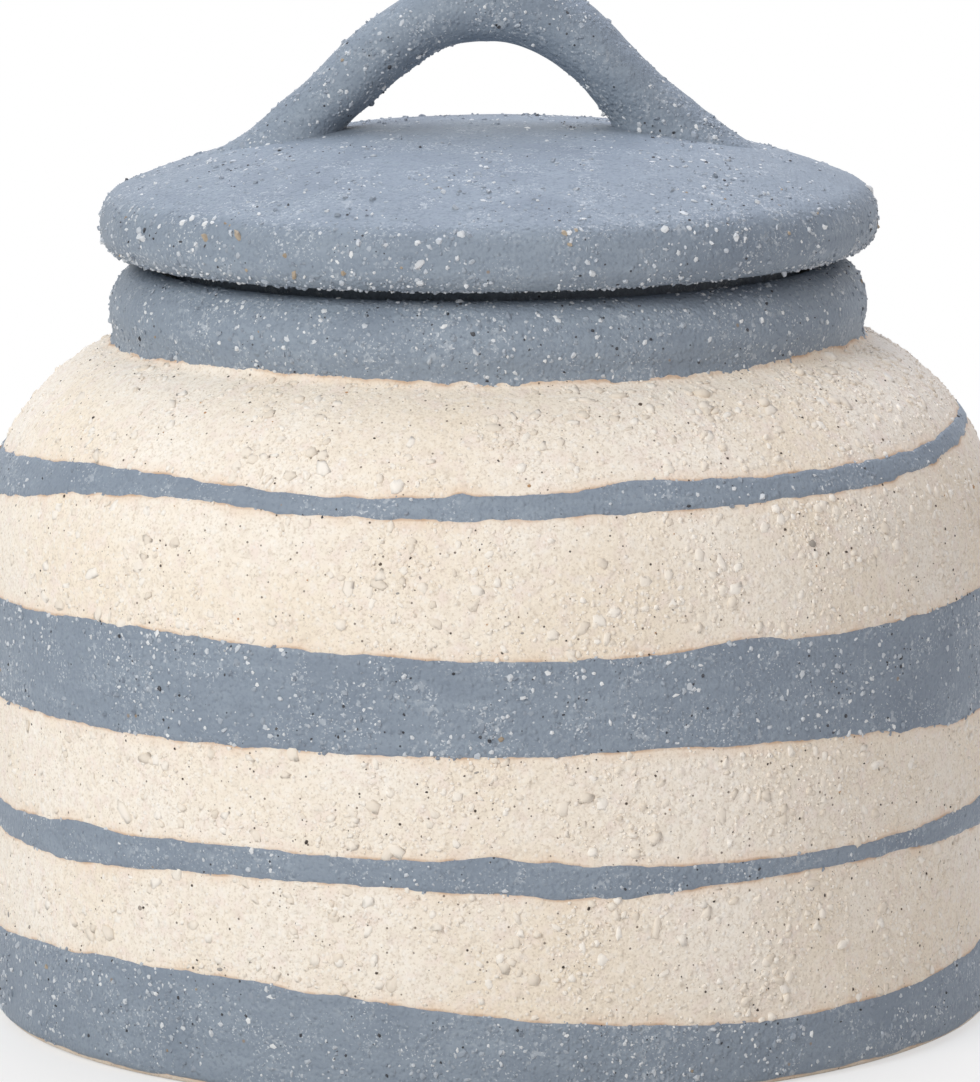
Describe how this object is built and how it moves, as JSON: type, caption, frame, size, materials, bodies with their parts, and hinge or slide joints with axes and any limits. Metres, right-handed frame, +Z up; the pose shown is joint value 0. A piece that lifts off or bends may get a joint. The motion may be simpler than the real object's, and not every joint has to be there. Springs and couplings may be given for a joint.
{
  "type": "storage jar",
  "caption": "Round lidded stoneware storage jar with a rounded shoulder, collar and brushed slip bands, and a lift-off domed lid with an arched handle.",
  "frame": {"origin": "middle of the foot, on the surface that the jar stands on", "axes": "+Z up along the jar's axis; the handle runs along X; the front of the jar faces -Y"},
  "size_m": [0.2114, 0.2114, 0.2148],
  "materials": {
    "cream_stoneware": "bare gritty cream stoneware, matt",
    "blue_grey_slip": "matt blue-grey slip over gritty stoneware"
  },
  "bodies": {
    "jar": {"jar_body": "cream_stoneware", "collar_slip_coat": "blue_grey_slip", "shoulder_slip_band": "blue_grey_slip", "belly_slip_band": "blue_grey_slip", "lower_slip_band": "blue_grey_slip", "foot_slip_band": "blue_grey_slip"},
    "lid": {"lid_disc": "blue_grey_slip", "lid_flange": "cream_stoneware", "lid_handle": "blue_grey_slip"}
  },
  "joints": [
    {"name": "lid_lift", "type": "slide", "parent": "jar", "child": "lid", "axis": [0, 0, 1], "range_m": [0, 0.12]}
  ]
}
